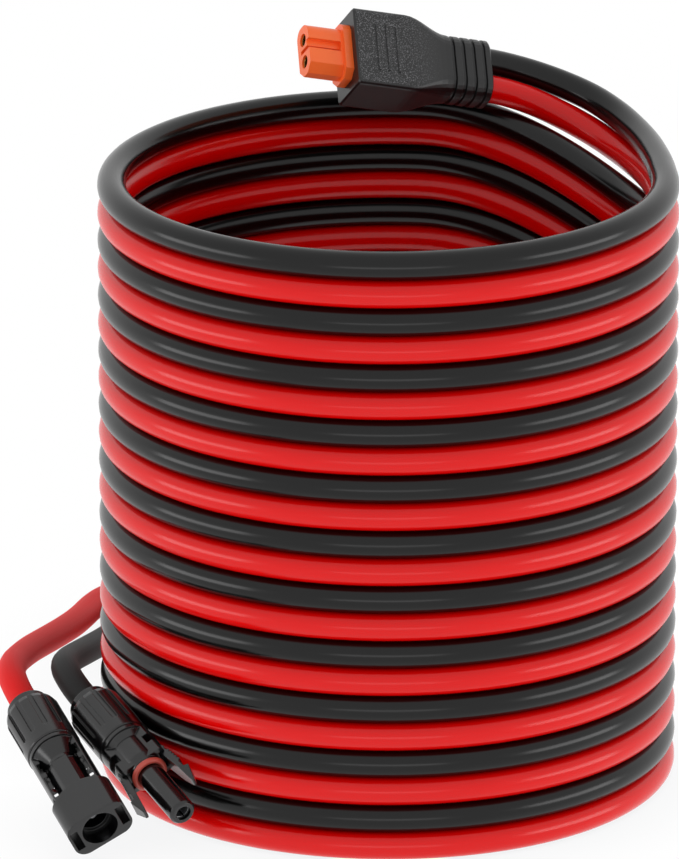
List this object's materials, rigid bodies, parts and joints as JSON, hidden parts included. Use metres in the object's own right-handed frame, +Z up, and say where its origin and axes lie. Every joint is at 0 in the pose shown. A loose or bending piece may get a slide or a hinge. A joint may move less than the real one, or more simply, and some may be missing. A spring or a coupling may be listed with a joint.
{
  "type": "two-pole cable lead with solar panel connectors",
  "caption": "Coiled red and black solar cable lead with a keyed two-pole plug at one end and a latching single-pole panel connector on each tail.",
  "frame": {"origin": "on the coil's vertical axis, in the plane that its lowest turn rests on", "axes": "+Z up along the coil's axis, -Y towards the side where the panel connectors point, +X towards the viewer's right from that side"},
  "size_m": [0.2005, 0.2599, 0.2157],
  "materials": {
    "black_jacket": "satin cable jacket",
    "red_jacket": "satin cable jacket",
    "overmould_black": "grained, soft",
    "inner_mould": "matt",
    "plug_orange": "satin nylon",
    "gilt_contact": "gold plated",
    "shrink_black": "satin",
    "shrink_red": "satin",
    "copper": "stranded copper",
    "connector_black": "fine-grained glass-filled plastic",
    "claw_black": "satin",
    "seal_black": "soft",
    "tinned_contact": "tin plated",
    "spring_steel": "bright",
    "ring_red": "soft"
  },
  "bodies": {
    "lead": {"black_coil": "black_jacket", "red_coil": "red_jacket", "black_lead_plug_end": "black_jacket", "red_lead_plug_end": "red_jacket", "black_lead_panel_end": "black_jacket", "red_lead_panel_end": "red_jacket", "plug_overmould": "overmould_black", "plug_inner_mould": "inner_mould", "plug_body": "plug_orange", "plug_contact_black": "gilt_contact", "plug_contact_red": "gilt_contact", "plug_sleeve_black": "shrink_black", "plug_sleeve_red": "shrink_red", "plug_conductor_black": "copper", "plug_conductor_red": "copper", "red_gland_seal": "seal_black", "red_housing": "connector_black", "red_pin_contact": "tinned_contact", "red_contact_clip": "spring_steel", "red_cable_end": "red_jacket", "red_conductor": "copper", "black_gland_seal": "seal_black", "black_housing": "connector_black", "black_socket_contact": "tinned_contact", "black_contact_band": "spring_steel", "black_contact_clip": "spring_steel", "black_cable_end": "black_jacket", "black_conductor": "copper", "nose_ring": "ring_red"},
    "red_claw": {"red_claw": "claw_black"},
    "red_nut": {"red_nut": "connector_black"},
    "black_claw": {"black_claw": "claw_black"},
    "black_nut": {"black_nut": "connector_black"},
    "latch_left": {"latch_left": "connector_black"},
    "latch_right": {"latch_right": "connector_black"}
  },
  "joints": [
    {"name": "red_claw_slide", "type": "slide", "parent": "lead", "child": "red_claw", "axis": [-0.3716, 0.8755, 0.309], "range_m": [0, 0.003]},
    {"name": "red_nut_turn", "type": "hinge", "parent": "red_claw", "child": "red_nut", "pos_m": [-0.10113, -0.04621, 0.02633], "axis": [0.3716, -0.8755, -0.309], "range_deg": [0, 720]},
    {"name": "black_claw_slide", "type": "slide", "parent": "lead", "child": "black_claw", "axis": [-0.4806, 0.8325, 0.2756], "range_m": [0, 0.003]},
    {"name": "black_nut_turn", "type": "hinge", "parent": "black_claw", "child": "black_nut", "pos_m": [-0.08164, -0.04619, 0.028], "axis": [0.4806, -0.8325, -0.2756], "range_deg": [0, 720]},
    {"name": "latch_left_press", "type": "hinge", "parent": "lead", "child": "latch_left", "pos_m": [-0.07672, -0.06667, 0.01862], "axis": [-0.3137, -0.4567, 0.8325], "range_deg": [0, 5], "stiffness_Nm_per_rad": 0.08},
    {"name": "latch_right_press", "type": "hinge", "parent": "lead", "child": "latch_right", "pos_m": [-0.06542, -0.06234, 0.02525], "axis": [0.3137, 0.4567, -0.8325], "range_deg": [0, 5], "stiffness_Nm_per_rad": 0.08}
  ],
  "couplings": [
    {"joint": "red_claw_slide", "follows": "red_nut_turn", "m_per_rad": 0.0002387},
    {"joint": "black_claw_slide", "follows": "black_nut_turn", "m_per_rad": 0.0002387}
  ]
}
